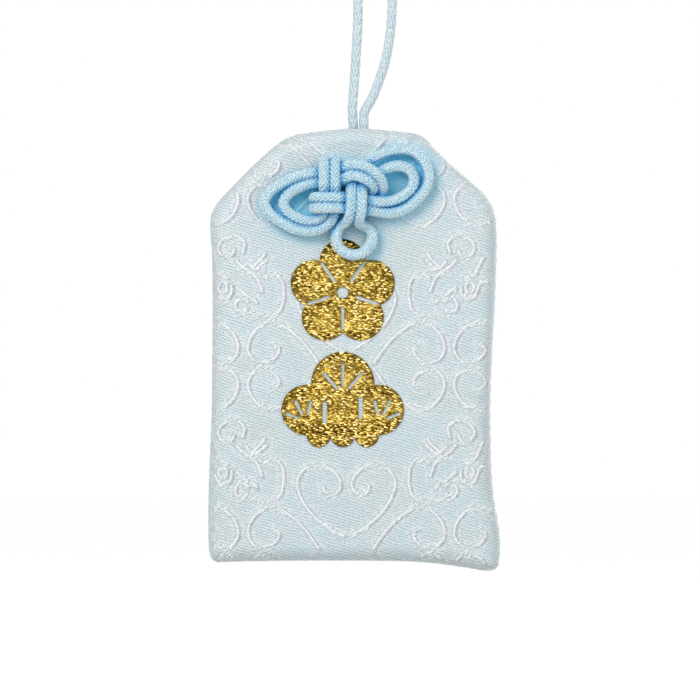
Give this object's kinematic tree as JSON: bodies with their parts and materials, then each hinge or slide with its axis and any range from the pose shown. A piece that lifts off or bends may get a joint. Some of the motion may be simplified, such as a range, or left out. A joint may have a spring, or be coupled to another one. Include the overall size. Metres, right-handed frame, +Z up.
{
  "type": "omamori charm",
  "caption": "Flat brocade charm pouch with slanted shoulders, a looped bow knot of braided cord on its front, gold embroidery and a cord loop to hang it by.",
  "frame": {"origin": "top of the hanging loop, on the cord's centre line", "axes": "+Z up, the front with the bow faces -Y, +X is to the right when looking at the front"},
  "size_m": [0.0454, 0.0124, 0.1291],
  "materials": {
    "brocade": "satin weave with raised white floats",
    "interlining": "matt felted",
    "sewing_thread": "twisted thread",
    "card": "matt",
    "paper": "matt",
    "cypress": "planed",
    "gold_thread": "metallic thread in fill stitch",
    "cord": "braided rayon"
  },
  "bodies": {
    "hanger": {"hanging_loop": "cord"},
    "neck": {"left_neck_strand": "cord", "right_neck_strand": "cord"},
    "pouch": {"front_panel": "brocade", "back_panel": "brocade", "front_interlining": "interlining", "back_interlining": "interlining", "seam_thread": "sewing_thread", "stiffener_card": "card", "upper_embroidery": "gold_thread", "lower_embroidery": "gold_thread"},
    "packet": {"prayer_wrapper": "paper", "prayer_slip": "cypress"},
    "bow": {"bow_knot": "cord"}
  },
  "joints": [
    {"name": "swing", "type": "hinge", "parent": "hanger", "child": "neck", "pos_m": [0.00082, 0, -0.0579], "axis": [1, 0, 0], "range_deg": [-75, 75]},
    {"name": "sway", "type": "hinge", "parent": "neck", "child": "pouch", "pos_m": [-0.0003, 0, -0.06735], "axis": [0, 1, 0], "range_deg": [-25, 25]},
    {"name": "bow_turn", "type": "hinge", "parent": "pouch", "child": "bow", "pos_m": [-0.0003, -0.0031, -0.06735], "axis": [0, 1, 0], "range_deg": [-15, 15]},
    {"name": "packet_slide", "type": "slide", "parent": "pouch", "child": "packet", "axis": [0, 0, 1], "range_m": [0, 0.006]}
  ]
}
